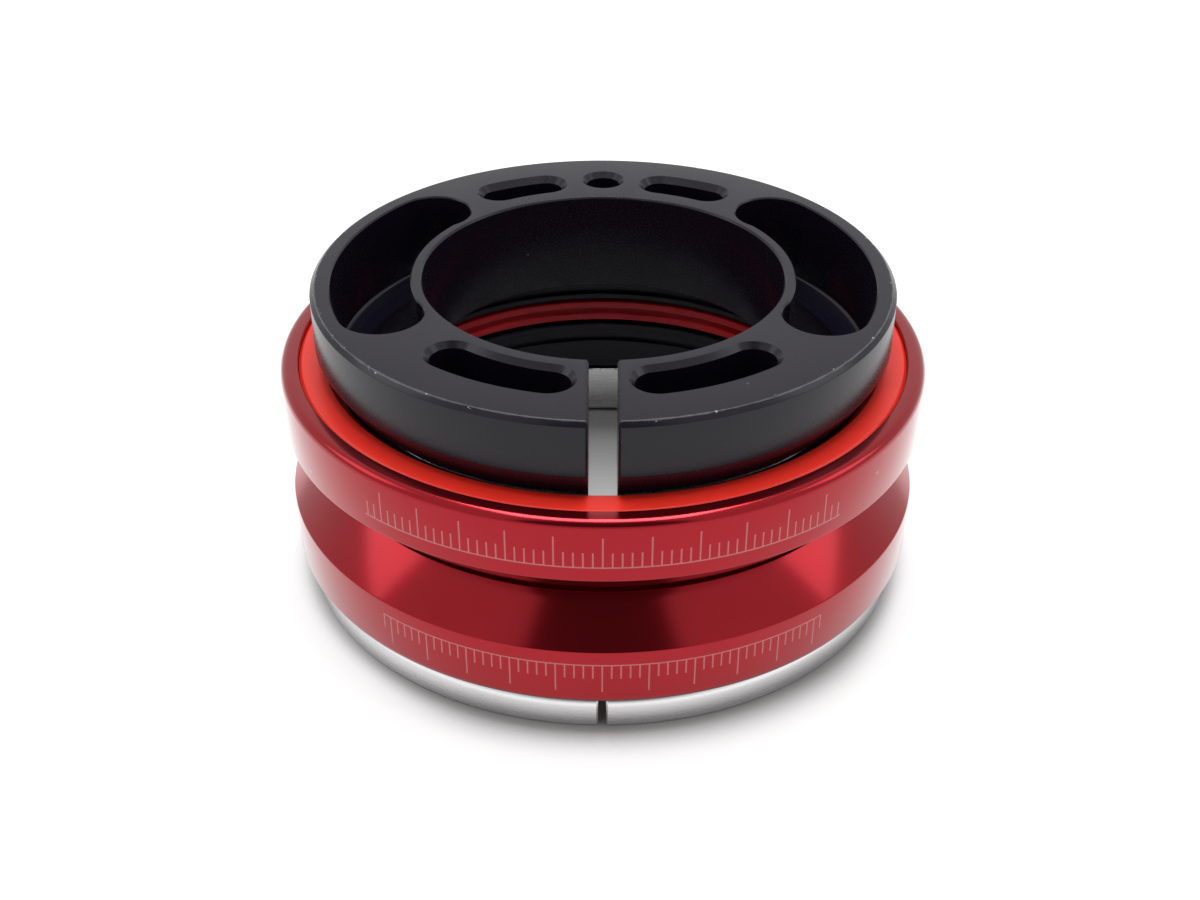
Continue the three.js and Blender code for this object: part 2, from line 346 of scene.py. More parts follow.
crown_section = rounded([
    (RACE_BORE, low.z + RACE_LEAD_IN, RACE_LEAD_IN_ROUND),
    (RACE_BORE + RACE_LEAD_IN, low.z, RACE_LEAD_IN_ROUND),
    (high.x, low.z, RACE_FOOT_ROUND),
    (high.x, RACE_FLANGE, RACE_ROUND),
    (RACE_CONE_ROOT, RACE_FLANGE, 0),
    (RACE_CONE_TIP, high.z, RACE_TIP_ROUND),
    (RACE_BORE, high.z, RACE_TIP_ROUND),
])
crown = turned(
    "crown_race_polished", crown_section, slit=RACE_SLIT, deburr=RACE_SLIT_DEBURR,
)

polish, tree, shader = new_material("polished aluminium", Metallic=1.0, Anisotropic=0.35)
rings = use_group(tree, lathe_lines, {"Lines per mm": 14.0})["Lines"]
cloud = use_group(tree, clouding, {"Size mm": 5.0})["Cloud"]
edge = use_group(tree, worn_edge_and_highlight, {
    "Radius": high.x, "Height": RACE_FLANGE, "Width": 0.16, "Nicks": 0.55,
})
silver = mixed(tree, cloud, SILVER, BRIGHT_SILVER)
tree.links.new(mixed(tree, edge["Nicks"], silver, DENT_GREY), shader["Base Color"])
tree.links.new(spread(tree, rings, 0.24, 0.32), shader["Roughness"])
tree.links.new(raised(tree, rings, 0.0012), shader["Normal"])
crown.data.materials.append(polish)
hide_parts("crown_race")
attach(crown, "crown")

# ---------------------------------------------------------------------------------------
# Outer races: the red rings that sit in the head tube, one a mirror of the other. Hard
# steel, ground, then coated in a clear metallic red; a plain scale is laser etched on.
# ---------------------------------------------------------------------------------------

BALL_CIRCLE = 23
BALL_HEIGHT = 4
RACEWAY_RADIUS = 1.7
RACEWAY_STEPS = 14
BEARING_HEIGHT = 8
OUTER_BACK_BORE = 22.3
OUTER_FRONT_BORE = 24.45
OUTER_SEAT = 3.1
SEAL_LEDGE = 7.2
BACK_ROUND = 0.12
SEAT_ROUND = 0.15
WALL_ROUND = 0.18
LIP_ROUND = 0.7
LIP_BORE_ROUND = 0.1


def raceway(from_radius, from_side, to_radius, to_side):
    """Points of the ball groove from one shoulder to the other, by way of its bottom."""

    def angle(radius, side):
        x = radius - BALL_CIRCLE
        return math.atan2(side * math.sqrt(RACEWAY_RADIUS ** 2 - x * x), x)

    start, end = angle(from_radius, from_side), angle(to_radius, to_side)
    inner = from_radius < BALL_CIRCLE and to_radius < BALL_CIRCLE
    if inner and start < 0:
        start += 2 * math.pi
    if inner and end < 0:
        end += 2 * math.pi
    points = []
    for step in range(RACEWAY_STEPS + 1):
        turn = start + (end - start) * step / RACEWAY_STEPS
        r = BALL_CIRCLE + RACEWAY_RADIUS * math.cos(turn)
        points.append((r, BALL_HEIGHT + RACEWAY_RADIUS * math.sin(turn)))
    return points


# Each bearing's back face, and which way its front lies from there
lower_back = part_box("lower_outer_race")[1].z / MM
upper_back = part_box("upper_outer_race")[0].z / MM
BEARINGS = {"lower": (lower_back, -1), "upper": (upper_back, 1)}


def stood(section, side):
    """A bearing's section, drawn from its back, moved to its place in the stack."""
    back, way = BEARINGS[side]
    return [(r, back + way * z) for r, z in section]


# Etched scale: thin ticks on a line round the front of the wall, every fifth one long
SHORT_TICK = 1.25
LONG_TICK = 2.5
HALF_STROKE = 0.055
STROKE_EDGES = (HALF_STROKE * 0.6, HALF_STROKE * 1.4, 1.0, 0.0)
LAST_TICK = 0.15
WALL_FROM = 25.8
etched_scale, knobs, ends = new_group("Etched scale", {
    "Line height": 10.0, "Tick way": 1.0, "Half span": 41.0, "Pitch": 1.5,
}, ["Etched"])
here = use_group(etched_scale, station)
pitch = knobs["Pitch"]
count = calc(etched_scale, "DIVIDE", here["Angle"], pitch)
nearest = calc(etched_scale, "ROUND", count)
off_tick = calc(etched_scale, "SUBTRACT", count, nearest)
off_tick = calc(etched_scale, "RADIANS", calc(etched_scale, "MULTIPLY", off_tick, pitch))
off_tick = calc(etched_scale, "MULTIPLY", off_tick, here["Radius"])
stroke = ramp(etched_scale, calc(etched_scale, "ABSOLUTE", off_tick), *STROKE_EDGES)
fifth = calc(etched_scale, "DIVIDE", nearest, 5.0)
off_fifth = calc(etched_scale, "SUBTRACT", fifth, calc(etched_scale, "ROUND", fifth))
is_long = calc(etched_scale, "LESS_THAN", calc(etched_scale, "ABSOLUTE", off_fifth), 0.05)
longer = calc(etched_scale, "MULTIPLY", is_long, LONG_TICK - SHORT_TICK)
tick = calc(etched_scale, "ADD", SHORT_TICK, longer)
rise = calc(etched_scale, "SUBTRACT", here["Height"], knobs["Line height"])
rise = calc(etched_scale, "MULTIPLY", rise, knobs["Tick way"])
above = calc(etched_scale, "GREATER_THAN", rise, 0.0)
below = calc(etched_scale, "LESS_THAN", rise, tick)
ticks = calc(etched_scale, "MULTIPLY", stroke, calc(etched_scale, "MULTIPLY", above, below))
base = ramp(etched_scale, calc(etched_scale, "ABSOLUTE", rise), *STROKE_EDGES)
marks = calc(etched_scale, "MAXIMUM", ticks, base)
turn = calc(etched_scale, "ABSOLUTE", here["Angle"])
last = calc(etched_scale, "ADD", knobs["Half span"], LAST_TICK)
within = calc(etched_scale, "LESS_THAN", turn, last)
on_wall = calc(etched_scale, "GREATER_THAN", here["Radius"], WALL_FROM)
shown = calc(etched_scale, "MULTIPLY", within, on_wall)
etched_scale.links.new(calc(etched_scale, "MULTIPLY", marks, shown), ends["Etched"])

SCALE_LINE = 4.25
SCALE_HALF_SPAN = {"lower": 39.0, "upper": 41.0}
RED = (0.30, 0.0026, 0.009, 1)
BRIGHT_RED = (0.33, 0.0034, 0.011, 1)
DUST_PINK = (0.45, 0.16, 0.16, 1)
CHIPPED_RED = (0.10, 0.01, 0.01, 1)
ETCHED_PINK = (0.46, 0.13, 0.13, 1)
ETCHED_ROUGHNESS = 0.55


def red_coat(side):
    """Clear metallic red over ground steel, with the etched scale of one bearing."""
    back, way = BEARINGS[side]
    made, tree, shader = new_material(
        f"red coat {side}", Coat_Weight=1.0, Coat_Roughness=0.12, Coat_IOR=1.25,
    )
    rings = use_group(tree, lathe_lines, {"Lines per mm": 16.0})["Lines"]
    cloud = use_group(tree, clouding, {"Size mm": 3.0})["Cloud"]
    dust = use_group(tree, specks, {"Per mm": 0.5, "Size": 0.09, "Share": 0.05})["Specks"]
    edge = use_group(tree, worn_edge_and_highlight, {
        "Radius": OUTER_FRONT_BORE, "Height": back + way * BEARING_HEIGHT,
        "Width": 0.05, "Nicks": 0.5,
    })
    etched = use_group(tree, etched_scale, {
        "Line height": back + way * SCALE_LINE, "Tick way": float(way),
        "Half span": SCALE_HALF_SPAN[side],
    })["Etched"]
    red = mixed(tree, cloud, RED, BRIGHT_RED)
    red = mixed(tree, dust, red, DUST_PINK)
    red = mixed(tree, edge["Nicks"], red, CHIPPED_RED)
    tree.links.new(mixed(tree, etched, red, ETCHED_PINK), shader["Base Color"])
    gloss = spread(tree, rings, 0.15, 0.18)
    matt = calc(tree, "MULTIPLY", etched, ETCHED_ROUGHNESS)
    tree.links.new(calc(tree, "MAXIMUM", gloss, matt), shader["Roughness"])
    tree.links.new(ramp(tree, etched, 0.0, 1.0, 0.92, 0.5), shader["Metallic"])
    whole = calc(tree, "SUBTRACT", 1.0, etched)
    fine_turning = raised(tree, rings, 0.0003)
    tree.links.new(raised(tree, whole, 0.01, fine_turning), shader["Normal"])
    return made


for side in BEARINGS:
    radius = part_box(f"{side}_outer_race")[1].x / MM
    section = rounded([
        (OUTER_BACK_BORE, 0, BACK_ROUND),
        (radius - OUTER_SEAT, 0, SEAT_ROUND),
        (radius, OUTER_SEAT, WALL_ROUND),
        (radius, BEARING_HEIGHT, LIP_ROUND),
        (OUTER_FRONT_BORE, BEARING_HEIGHT, LIP_BORE_ROUND),
        (OUTER_FRONT_BORE, SEAL_LEDGE, 0),
    ]) + raceway(OUTER_FRONT_BORE, 1, OUTER_BACK_BORE, -1)
    race = turned(f"{side}_outer_race_coated", stood(section, side))
    race.data.materials.append(red_coat(side))
    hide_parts(f"{side}_outer_race")
    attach(race, f"{side}_outer")

# ---------------------------------------------------------------------------------------
# Inner races: the bearing's bore, with the 45 degree seat that its cone wedges into and
# a shallow groove near its back. Hard steel, ground and blacked.
# ---------------------------------------------------------------------------------------

INNER_BORE = 20
INNER_SEAT = 14.2
INNER_BACK = 0.95
INNER_FRONT = 7.1
INNER_BACK_ROUND = 0.2
INNER_EDGE_ROUND = 0.1
GROOVE = {"from": 1.75, "to": 3.05, "bottom": INNER_BORE + 0.5, "edge": 0.06, "root": 0.12}
SHOULDER_HIGH = 22.8
SHOULDER_LOW = 21.6
SHOULDER_ROUND = 0.08
SHOULDER_WIDTH = 0.6
SHOULDER_STEP = 0.05
STEEL_BLACK = (0.0040, 0.0034, 0.0100, 1)
STEEL_BLUE_BLACK = (0.0065, 0.0055, 0.0140, 1)
STEEL_DUST = (0.12, 0.11, 0.12, 1)

blacked, tree, shader = new_material("blacked steel", Metallic=0.1, IOR=1.36)
rings = use_group(tree, lathe_lines, {"Lines per mm": 10.0})["Lines"]
cloud = use_group(tree, clouding, {"Size mm": 2.5})["Cloud"]
dust = use_group(tree, specks, {"Per mm": 0.7, "Size": 0.08, "Share": 0.08})["Specks"]
black = mixed(tree, cloud, STEEL_BLACK, STEEL_BLUE_BLACK)
tree.links.new(mixed(tree, dust, black, STEEL_DUST), shader["Base Color"])
tree.links.new(spread(tree, rings, 0.26, 0.36), shader["Roughness"])
tree.links.new(raised(tree, rings, 0.0015), shader["Normal"])

for side in BEARINGS:
    section = rounded([
        (INNER_BORE, INNER_BACK, INNER_BACK_ROUND),
        (INNER_BORE, GROOVE["from"], GROOVE["edge"]),
        (GROOVE["bottom"], GROOVE["from"], GROOVE["root"]),
        (GROOVE["bottom"], GROOVE["to"], GROOVE["root"]),
        (INNER_BORE, GROOVE["to"], GROOVE["edge"]),
        (INNER_BORE, INNER_BORE - INNER_SEAT, INNER_EDGE_ROUND),
        (INNER_FRONT + INNER_SEAT, INNER_FRONT, SHOULDER_ROUND),
        (SHOULDER_HIGH, INNER_FRONT, SHOULDER_ROUND),
        (SHOULDER_HIGH, INNER_FRONT - SHOULDER_WIDTH, 0),
    ])
    section += raceway(SHOULDER_HIGH, 1, SHOULDER_LOW, -1)
    section.append((SHOULDER_LOW, INNER_BACK + SHOULDER_STEP))
    race = turned(f"{side}_inner_race_blacked", stood(section, side))
    race.data.materials.append(blacked)
    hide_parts(f"{side}_inner_race")
    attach(race, f"{side}_inner")

# ---------------------------------------------------------------------------------------
# Seals: two rings of moulded rubber on each bearing, held in the outer race. The front
# one is orange-red and flat, with a bevelled rim; the back one is thinner and crimson.
# ---------------------------------------------------------------------------------------

SEAL_STEPS = 240
FRONT_SEAL = {
    "inner": 21.8, "bevel": 22.4, "flat": 24.16, "outer": 24.42,
    "back": 7.25, "edge": 7.62, "front": 7.85,
}
BACK_SEAL = {"inner": 20.15, "outer": 22.25, "back": 0.15, "front": 0.85}
BEVEL_ROUND = 0.08
RIM_ROUND = 0.05
LIP_SEAL_ROUND = 0.12
ORANGE_RED = (0.66, 0.022, 0.012, 1)
BRIGHT_ORANGE_RED = (0.74, 0.028, 0.016, 1)
CRIMSON = (0.60, 0.004, 0.014, 1)
BRIGHT_CRIMSON = (0.70, 0.006, 0.018, 1)
RUBBER_DUST = (0.22, 0.01, 0.01, 1)


def rubber(name, plain, marked):
    """Moulded rubber with a fine grain and faint rings from the turned mould."""
    made, tree, shader = new_material(name, IOR=1.4)
    cloud = use_group(tree, clouding, {"Size mm": 2.2})["Cloud"]
    grain = use_group(tree, clouding, {"Size mm": 0.12, "Detail": 2.0})["Cloud"]
    rings = use_group(tree, lathe_lines, {"Lines per mm": 5.0})["Lines"]
    dust = use_group(tree, specks, {"Per mm": 0.8, "Size": 0.08, "Share": 0.06})["Specks"]
    colour = mixed(tree, cloud, plain, marked)
    tree.links.new(mixed(tree, dust, colour, RUBBER_DUST), shader["Base Color"])
    tree.links.new(spread(tree, rings, 0.30, 0.42), shader["Roughness"])
    tree.links.new(raised(tree, grain, 0.003, raised(tree, rings, 0.006)), shader["Normal"])
    return made


front_rubber = rubber("orange-red rubber", ORANGE_RED, BRIGHT_ORANGE_RED)
back_rubber = rubber("crimson rubber", CRIMSON, BRIGHT_CRIMSON)

for side in BEARINGS:
    front = turned(f"{side}_front_seal_moulded", stood(rounded([
        (FRONT_SEAL["inner"], FRONT_SEAL["back"], 0),
        (FRONT_SEAL["bevel"], FRONT_SEAL["front"], BEVEL_ROUND),
        (FRONT_SEAL["flat"], FRONT_SEAL["front"], RIM_ROUND),
        (FRONT_SEAL["outer"], FRONT_SEAL["edge"], RIM_ROUND),
        (FRONT_SEAL["outer"], FRONT_SEAL["back"], 0),
    ]), side), SEAL_STEPS)
    back = turned(f"{side}_back_seal_moulded", stood(rounded([
        (BACK_SEAL["inner"], BACK_SEAL["back"], LIP_SEAL_ROUND),
        (BACK_SEAL["outer"], BACK_SEAL["back"], BEVEL_ROUND),
        (BACK_SEAL["outer"], BACK_SEAL["front"], BEVEL_ROUND),
        (BACK_SEAL["inner"], BACK_SEAL["front"], LIP_SEAL_ROUND),
    ]), side), SEAL_STEPS)
    for seal, end, made in ((front, "front", front_rubber), (back, "back", back_rubber)):
        seal.data.materials.append(made)
        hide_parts(f"{side}_{end}_seal")
        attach(seal, f"{side}_outer")

# ---------------------------------------------------------------------------------------
# Cages and balls: a moulded nylon band over each row of polished steel balls keeps them
# evenly spaced in the ball groove. Hidden between the races and the seals.
# ---------------------------------------------------------------------------------------

BALL_RADIUS = 3.175 / 2
BALL_COUNT = 22
POCKET_RADIUS = 1.75
POCKET_SIDES = 40
CAGE = {"inner": 22.95, "outer": 23.9, "back": 3.6, "front": 6.3}
CAGE_BACK_ROUND = 0.12
CAGE_FRONT_ROUND = 0.2
DRILL_FROM = 21.5
DRILL_TO = 25
WELD = 1e-7
NYLON_BLACK = (0.035, 0.035, 0.040, 1)
NYLON_GREY = (0.06, 0.06, 0.065, 1)
BALL_STEEL = (0.60, 0.60, 0.62, 1)
BRIGHT_BALL_STEEL = (0.68, 0.68, 0.70, 1)


def carved(body, cutters):
    """Cuts every cutter out of the body, and leaves one clean mesh."""
    for cutter in cutters:
        knife = body.modifiers.new("cut", "BOOLEAN")
        knife.operation = "DIFFERENCE"
        knife.solver = "EXACT"
        knife.object = cutter
    finished = body.evaluated_get(bpy.context.evaluated_depsgraph_get())
    mesh = bpy.data.meshes.new_from_object(finished)
    body.modifiers.clear()
    old = body.data
    body.data = mesh
    mesh.name = body.name
    bpy.data.meshes.remove(old)
    for cutter in cutters:
        bpy.data.meshes.remove(cutter.data)
    cleaned = bmesh.new()
    cleaned.from_mesh(mesh)
    bmesh.ops.remove_doubles(cleaned, verts=cleaned.verts, dist=WELD)
    bmesh.ops.dissolve_degenerate(cleaned, edges=cleaned.edges, dist=WELD)
    cleaned.to_mesh(mesh)
    cleaned.free()
    mesh.shade_smooth()
    mesh.set_sharp_from_angle(angle=SMOOTH_BELOW)
    return body


nylon, tree, shader = new_material("cage nylon", IOR=1.53)
cloud = use_group(tree, clouding, {"Size mm": 1.0})["Cloud"]
grain = use_group(tree, clouding, {"Size mm": 0.08, "Detail": 2.0})["Cloud"]
tree.links.new(mixed(tree, cloud, NYLON_BLACK, NYLON_GREY), shader["Base Color"])
tree.links.new(spread(tree, cloud, 0.45, 0.6), shader["Roughness"])
tree.links.new(raised(tree, grain, 0.004), shader["Normal"])

chrome, tree, shader = new_material("lapped ball steel", Metallic=1.0)
cloud = use_group(tree, clouding, {"Size mm": 0.7})["Cloud"]
tree.links.new(mixed(tree, cloud, BALL_STEEL, BRIGHT_BALL_STEEL), shader["Base Color"])
tree.links.new(spread(tree, cloud, 0.06, 0.11), shader["Roughness"])


def round_cutter(name, radius, from_radius, to_radius, height, angles):
    """Radial pegs, all in one mesh, for drilling a ring of pockets."""
    points, faces = [], []
    for angle in angles:
        first = len(points)
        for reach in (from_radius, to_radius):
            for step in range(POCKET_SIDES):
                turn = 2 * math.pi * step / POCKET_SIDES
                side_way, up = radius * math.cos(turn), radius * math.sin(turn)
                points.append((
                    reach * math.cos(angle) - side_way * math.sin(angle),
                    reach * math.sin(angle) + side_way * math.cos(angle),
                    height + up,
                ))
        second = first + POCKET_SIDES
        for step in range(POCKET_SIDES):
            following = (step + 1) % POCKET_SIDES
            faces.append((first + following, second + following, second + step, first + step))
        faces.append(tuple(reversed(range(first, second))))
        faces.append(tuple(range(second, second + POCKET_SIDES)))
    return mesh_object(name, points, faces)


for side, (back, way) in BEARINGS.items():
    band = turned(f"{side}_cage_moulded", stood(rounded([
        (CAGE["inner"], CAGE["back"], CAGE_BACK_ROUND),
        (CAGE["outer"], CAGE["back"], CAGE_BACK_ROUND),
        (CAGE["outer"], CAGE["front"], CAGE_FRONT_ROUND),
        (CAGE["inner"], CAGE["front"], CAGE_FRONT_ROUND),
    ]), side))
    angles = [2 * math.pi * i / BALL_COUNT for i in range(BALL_COUNT)]
    row = back + way * BALL_HEIGHT
    pegs = round_cutter("pegs", POCKET_RADIUS, DRILL_FROM, DRILL_TO, row, angles)
    cage = carved(band, [pegs])
    cage.data.materials.append(nylon)
    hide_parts(f"{side}_ball_cage")
    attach(cage, f"{side}_cage")
    for number in range(1, BALL_COUNT + 1):
        node = f"{side}_ball_{number:02d}"
        low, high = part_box(node)
        shape = bmesh.new()
        bmesh.ops.create_icosphere(shape, subdivisions=4, radius=BALL_RADIUS * MM)
        bmesh.ops.translate(shape, verts=shape.verts, vec=(low + high) / 2)
        mesh = bpy.data.meshes.new(f"{node}_lapped")
        shape.to_mesh(mesh)
        shape.free()
        mesh.shade_smooth()
        mesh.materials.append(chrome)
        ball = bpy.data.objects.new(mesh.name, mesh)
        bpy.context.scene.collection.objects.link(ball)
        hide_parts(node)
        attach(ball, f"{side}_cage")

# ---------------------------------------------------------------------------------------
# Compression ring: the split ring whose cone wedges the upper bearing on the steerer.
# Aluminium, turned, milled right through for two cable ports, four slots and a pin hole,
# every mouth countersunk, then beaded and anodised black.
# ---------------------------------------------------------------------------------------

RING_STEPS = 360
low, high = (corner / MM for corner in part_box("compression_ring"))
RING_RADIUS = high.x
RING_TOP = high.z
RING_BOTTOM = low.z
RING_BORE = 14.3
RING_CONE = 2.9
RING_NECK = 19.1
RING_WALL_BOTTOM = 20.9
TOP_CHAMFER = 0.35
BORE_CHAMFER = 0.15
PORT = {"inner": 15.2, "outer": 21.45, "end": 3.2, "front": -24, "back": 37.4}
PORT_MOUTH = 0.12
FRONT_SLOT = {"circle": 17.45, "half": 1.65, "from": 12.8, "to": 38.5, "mouth": 0.42}
BACK_SLOT = {"circle": 17.87, "half": 1.43, "from": 16.6, "to": 30.5, "mouth": 0.52}
PIN_CIRCLE = 18.15
PIN_RADIUS = 1.45
PIN_MOUTH = 0.45
SPLIT = 2.05
SPLIT_DEBURR = 0.2
SPLIT_INSIDE = 0.3
PAST = 1.0
FLARE_PAST = 0.1
PORT_STEPS = 60
PORT_END_STEPS = 72
SLOT_STEPS = 40
SLOT_END_STEPS = 28
PIN_STEPS = 48
CONE_TIP_ROUND = 0.03
CONE_FOOT_ROUND = 0.1
NECK_ROUND = 0.15
UNDERSIDE_ROUND = 0.25
CHAMFER_ROUND = 0.08
FACE_ROUND = 0.04
BORE_ROUND = 0.05
ANODISED_BLACK = (0.0044, 0.0030, 0.0075, 1)
ANODISED_SHEEN = (0.0062, 0.0046, 0.0095, 1)
# Rubbed edge: light grey for real rubbing of the anodising and for a painted highlight on the
# rounded top edge
RUBBED_EDGE_AND_HIGHLIGHT = (0.06, 0.06, 0.065, 1)
BARE_METAL = (0.3, 0.3, 0.31, 1)
RING_DUST = (0.05, 0.05, 0.055, 1)


def arc_points(centre, radius, start, end, steps):
    """Points on a level arc, in degrees, without its last one."""
    points = []
    for step in range(steps):
        angle = math.radians(start + (end - start) * step / steps)
        x, y = radius * math.cos(angle), radius * math.sin(angle)
        points.append((centre[0] + x, centre[1] + y))
    return points


def port_outline(grow):
    """A cable port on the right: a slot along the rim with a round hole at each end."""
    inner, outer, end = PORT["inner"] - grow, PORT["outer"] + grow, PORT["end"] + grow
    circle = PORT["outer"] - PORT["end"]
    turn = math.acos((circle ** 2 + inner ** 2 - end ** 2) / (2 * circle * inner))
    meets = math.degrees(math.atan2(inner * math.sin(turn), inner * math.cos(turn) - circle))
    turn = math.degrees(turn)
    front, back = PORT["front"], PORT["back"]

    def end_hole(angle, start, stop):
        where = math.radians(angle)
        centre = (circle * math.cos(where), circle * math.sin(where))
        return arc_points(centre, end, angle + start, angle + stop, PORT_END_STEPS)

    points = arc_points((0, 0), outer, front, back, PORT_STEPS)
    points += end_hole(back, 0, 360 - meets)
    points += arc_points((0, 0), inner, back - turn, front + turn, PORT_STEPS)
    points += end_hole(front, meets, 360)
    return points


def slot_outline(slot, axis, way, grow):
    """A curved slot with round ends; its two angles count from the axis direction."""
    start, end = sorted((axis + way * slot["from"], axis + way * slot["to"]))
    circle, half = slot["circle"], slot["half"] + grow

    def tip(angle):
        return circle * math.cos(math.radians(angle)), circle * math.sin(math.radians(angle))

    points = arc_points((0, 0), circle + half, start, end, SLOT_STEPS)
    points += arc_points(tip(end), half, end, end + 180, SLOT_END_STEPS)
    points += arc_points((0, 0), circle - half, end, start, SLOT_STEPS)
    points += arc_points(tip(start), half, start + 180, start + 360, SLOT_END_STEPS)
    return points


def milled(name, outline, mouth):
    """A cutter through the ring that opens out at 45 degrees at the top face."""
    levels = [
        (outline(0), RING_BOTTOM - PAST),
        (outline(0), RING_TOP - mouth),
        (outline(mouth + FLARE_PAST), RING_TOP + FLARE_PAST),
    ]
    count = len(levels[0][0])
    points = [(x, y, z) for level, z in levels for x, y in level]
    faces = []
    for first in range(0, (len(levels) - 1) * count, count):
        for i in range(count):
            k = (i + 1) % count
            faces.append((first + i, first + k, first + count + k, first + count + i))
    faces.append(tuple(reversed(range(count))))
    faces.append(tuple(range((len(levels) - 1) * count, len(levels) * count)))
    return mesh_object(name, points, faces)


def mirrored(outline):
    """The same outline on the left."""
    return lambda grow: [(-x, y) for x, y in reversed(outline(grow))]


def pin_outline(grow):
    """The round hole at the back that a locating pin enters."""
    return arc_points((0, PIN_CIRCLE), PIN_RADIUS + grow, 0, 360, PIN_STEPS)


def prism(name, outline, axis, start, end):
    """A straight bar with the given outline, along Y or Z."""
    outline = counter_clockwise(outline)
    count = len(outline)
    if axis == "Z":
        points = [(x, y, z) for z in (start, end) for x, y in outline]
    else:
        points = [(x, y, z) for y in (end, start) for x, z in outline]
    faces = [(i, (i + 1) % count, count + (i + 1) % count, count + i) for i in range(count)]
    faces.append(tuple(reversed(range(count))))
    faces.append(tuple(range(count, 2 * count)))
    return mesh_object(name, points, faces)


ring_section = rounded([
    (RING_BORE + BORE_CHAMFER, RING_BOTTOM, CONE_TIP_ROUND),
    (RING_BOTTOM + RING_CONE, RING_BOTTOM, CONE_FOOT_ROUND),
    (RING_NECK + RING_CONE, RING_NECK, NECK_ROUND),
    (RING_RADIUS, RING_WALL_BOTTOM, UNDERSIDE_ROUND),
    (RING_RADIUS, RING_TOP - TOP_CHAMFER, CHAMFER_ROUND),
    (RING_RADIUS - TOP_CHAMFER, RING_TOP, FACE_ROUND),
    (RING_BORE + BORE_CHAMFER, RING_TOP, FACE_ROUND),
    (RING_BORE, RING_TOP - BORE_CHAMFER, BORE_ROUND),
    (RING_BORE, RING_BOTTOM + BORE_CHAMFER, BORE_ROUND),
])
blank = turned("compression_ring_milled", ring_section, RING_STEPS)
cutters = [
    milled("port right", port_outline, PORT_MOUTH),
    milled("port left", mirrored(port_outline), PORT_MOUTH),
    milled("pin hole", pin_outline, PIN_MOUTH),
]
for slot, axis in ((FRONT_SLOT, 270), (BACK_SLOT, 90)):
    for way in (1, -1):
        def outline(grow, slot=slot, axis=axis, way=way):
            return slot_outline(slot, axis, way, grow)
        cutters.append(milled("slot", outline, slot["mouth"]))

half = SPLIT / 2
wide = half + SPLIT_DEBURR + PAST
outer_end, inner_end = -RING_RADIUS - PAST, -RING_BORE + PAST
outer_edge, inner_edge = -RING_RADIUS + SPLIT_DEBURR, -RING_BORE - SPLIT_DEBURR
cutters.append(prism("split", [
    (-half, outer_edge), (-wide, outer_end), (wide, outer_end), (half, outer_edge),
    (half, inner_edge), (wide, inner_end), (-wide, inner_end), (-half, inner_edge),
], "Z", RING_BOTTOM - PAST, RING_TOP + PAST))
narrow = half - SPLIT_INSIDE
under = RING_TOP - SPLIT_DEBURR - SPLIT_INSIDE
cutters.append(prism("split top", [
    (-narrow, under), (narrow, under), (wide, RING_TOP + PAST), (-wide, RING_TOP + PAST),
], "Y", outer_end, inner_end))
ring = carved(blank, cutters)

anodised, tree, shader = new_material("black anodising", IOR=1.37)
rings = use_group(tree, lathe_lines, {"Lines per mm": 7.0})["Lines"]
cloud = use_group(tree, clouding, {"Size mm": 3.5})["Cloud"]
bead = use_group(tree, clouding, {"Size mm": 0.11, "Detail": 2.0})["Cloud"]
dust = use_group(tree, specks, {"Per mm": 0.6, "Size": 0.07, "Share": 0.06})["Specks"]
rim = use_group(tree, worn_edge_and_highlight, {
    "Radius": RING_RADIUS - TOP_CHAMFER, "Height": RING_TOP, "Width": 0.09, "Nicks": 0.45,
})
black = mixed(tree, cloud, ANODISED_BLACK, ANODISED_SHEEN)
# Painted highlight: the line on the top outer edge is lightened partly for real rubbing and
# partly as the edge's highlight; the nicks are real wear down to bare metal
black = mixed(tree, rim["Line"], black, RUBBED_EDGE_AND_HIGHLIGHT)
black = mixed(tree, rim["Nicks"], black, BARE_METAL)
tree.links.new(mixed(tree, dust, black, RING_DUST), shader["Base Color"])
tree.links.new(spread(tree, bead, 0.20, 0.28), shader["Roughness"])
tree.links.new(raised(tree, bead, 0.0012, raised(tree, rings, 0.0006)), shader["Normal"])
ring.data.materials.append(anodised)
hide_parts("compression_ring")
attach(ring, "ring")

# ---------------------------------------------------------------------------------------
# Studio: a pale paper floor, a bright surround that is dark only high in front of the part,
# soft boxes above and to the sides, and the camera in front and above. The floor has a
# faint light of its own, which fades where the part stands and shades it.
# ---------------------------------------------------------------------------------------

FLOOR_HALF = 1.5
SHADOW_REACH = 0.0045
SHADOW_FROM_FRONT = 12
SHADOW_HALF = 28
SHADOW_FADE = 45
SIDE_LIGHT = 0.4
FOOT_RADIUS = 24.0
FOOT_FADE = 3.0
GLOW_FROM = 0.42
GLOW_TO = 0.93
GLOW_DARK = 0.04
GLOW_FULL = 0.52
PAPER_FROM = 0.3
PAPER_TO = 0.8
PAPER_SHADED = (0.34, 0.34, 0.34, 1)
PAPER_WHITE = (0.46, 0.46, 0.46, 1)
floor_mesh = bpy.data.meshes.new("studio_floor")
floor_corners = [(-1, -1), (1, -1), (1, 1), (-1, 1)]
floor_mesh.from_pydata(
    [(x * FLOOR_HALF, y * FLOOR_HALF, 0) for x, y in floor_corners], [], [(0, 1, 2, 3)],
)
floor = bpy.data.objects.new("studio_floor", floor_mesh)
floor.location.z = cad_box[0].z
bpy.context.scene.collection.objects.link(floor)
paper, tree, shader = new_material(
    "pale paper", Roughness=0.6, Specular_IOR_Level=0.2, Emission_Strength=1.0,
)
# Painted shadow: the floor's glow and colour darken with ambient occlusion round the part's foot
open_sky = place(tree, "AmbientOcclusion", {"Distance": SHADOW_REACH}, samples=8)
here = use_group(tree, station)
